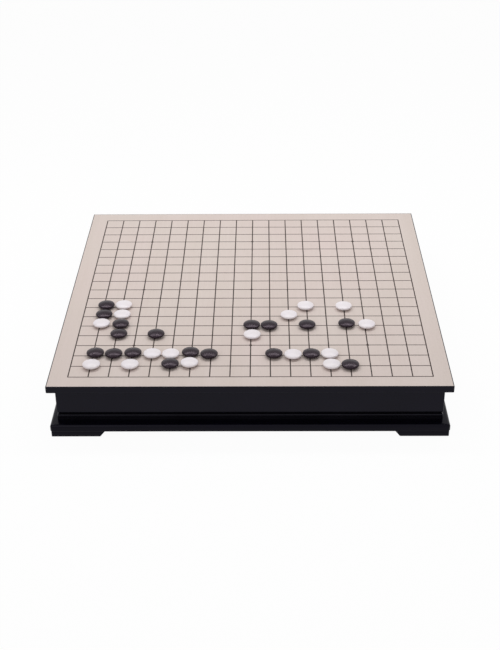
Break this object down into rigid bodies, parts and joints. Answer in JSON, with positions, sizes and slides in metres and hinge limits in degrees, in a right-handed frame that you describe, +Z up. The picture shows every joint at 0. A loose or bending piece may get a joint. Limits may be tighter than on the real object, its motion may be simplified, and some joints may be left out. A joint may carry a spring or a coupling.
{
  "type": "go board with stone drawers",
  "caption": "Square game board with a line grid on a low lacquered case, bracket feet, drawers front and rear, and stones laid on the grid.",
  "frame": {"origin": "middle of the underside, on the surface that the four feet stand on", "axes": "+Z up, -Y towards the front drawer and the player in front, +X to that player's right"},
  "size_m": [0.4004, 0.4054, 0.064],
  "materials": {
    "black_lacquer": "gloss black lacquer on fibreboard, edges slightly softened",
    "pale_veneer": "pale satin wood veneer with faint straight grain",
    "line_ink": "dark brown-black printed lines",
    "drawer_wood": "black-stained plywood, satin",
    "white_stone": "polished opaque white",
    "black_stone": "polished opaque black",
    "screw_steel": "dull zinc-plated steel"
  },
  "bodies": {
    "case": {"base_plate": "black_lacquer", "foot_front_left": "black_lacquer", "foot_front_right": "black_lacquer", "foot_rear_left": "black_lacquer", "foot_rear_right": "black_lacquer", "base_screws": "screw_steel", "case_floor": "black_lacquer", "left_side_panel": "black_lacquer", "right_side_panel": "black_lacquer", "centre_divider": "drawer_wood", "front_drawer_stop": "drawer_wood", "rear_drawer_stop": "drawer_wood", "top_slab": "black_lacquer", "playing_surface": "pale_veneer", "grid_lines": "line_ink"},
    "front_drawer": {"front_drawer_front": "black_lacquer", "front_drawer_left_side": "drawer_wood", "front_drawer_right_side": "drawer_wood", "front_drawer_back": "drawer_wood", "front_drawer_bottom": "drawer_wood"},
    "rear_drawer": {"rear_drawer_front": "black_lacquer", "rear_drawer_left_side": "drawer_wood", "rear_drawer_right_side": "drawer_wood", "rear_drawer_back": "drawer_wood", "rear_drawer_bottom": "drawer_wood"},
    "white_stones": {"white_stone_01": "white_stone", "white_stone_02": "white_stone", "white_stone_03": "white_stone", "white_stone_04": "white_stone", "white_stone_05": "white_stone", "white_stone_06": "white_stone", "white_stone_07": "white_stone", "white_stone_08": "white_stone", "white_stone_09": "white_stone", "white_stone_10": "white_stone", "white_stone_11": "white_stone", "white_stone_12": "white_stone", "white_stone_13": "white_stone", "white_stone_14": "white_stone", "white_stone_15": "white_stone", "white_stone_16": "white_stone"},
    "black_stones": {"black_stone_01": "black_stone", "black_stone_02": "black_stone", "black_stone_03": "black_stone", "black_stone_04": "black_stone", "black_stone_05": "black_stone", "black_stone_06": "black_stone", "black_stone_07": "black_stone", "black_stone_08": "black_stone", "black_stone_09": "black_stone", "black_stone_10": "black_stone", "black_stone_11": "black_stone", "black_stone_12": "black_stone", "black_stone_13": "black_stone", "black_stone_14": "black_stone", "black_stone_15": "black_stone", "black_stone_16": "black_stone", "black_stone_17": "black_stone", "black_stone_18": "black_stone"}
  },
  "joints": [
    {"name": "front_drawer_slide", "type": "slide", "parent": "case", "child": "front_drawer", "axis": [0, -1, 0], "range_m": [0, 0.14]},
    {"name": "rear_drawer_slide", "type": "slide", "parent": "case", "child": "rear_drawer", "axis": [0, 1, 0], "range_m": [0, 0.14]},
    {"name": "white_stones_lift", "type": "slide", "parent": "case", "child": "white_stones", "axis": [0, 0, 1], "range_m": [0, 0.06]},
    {"name": "black_stones_lift", "type": "slide", "parent": "case", "child": "black_stones", "axis": [0, 0, 1], "range_m": [0, 0.06]}
  ]
}
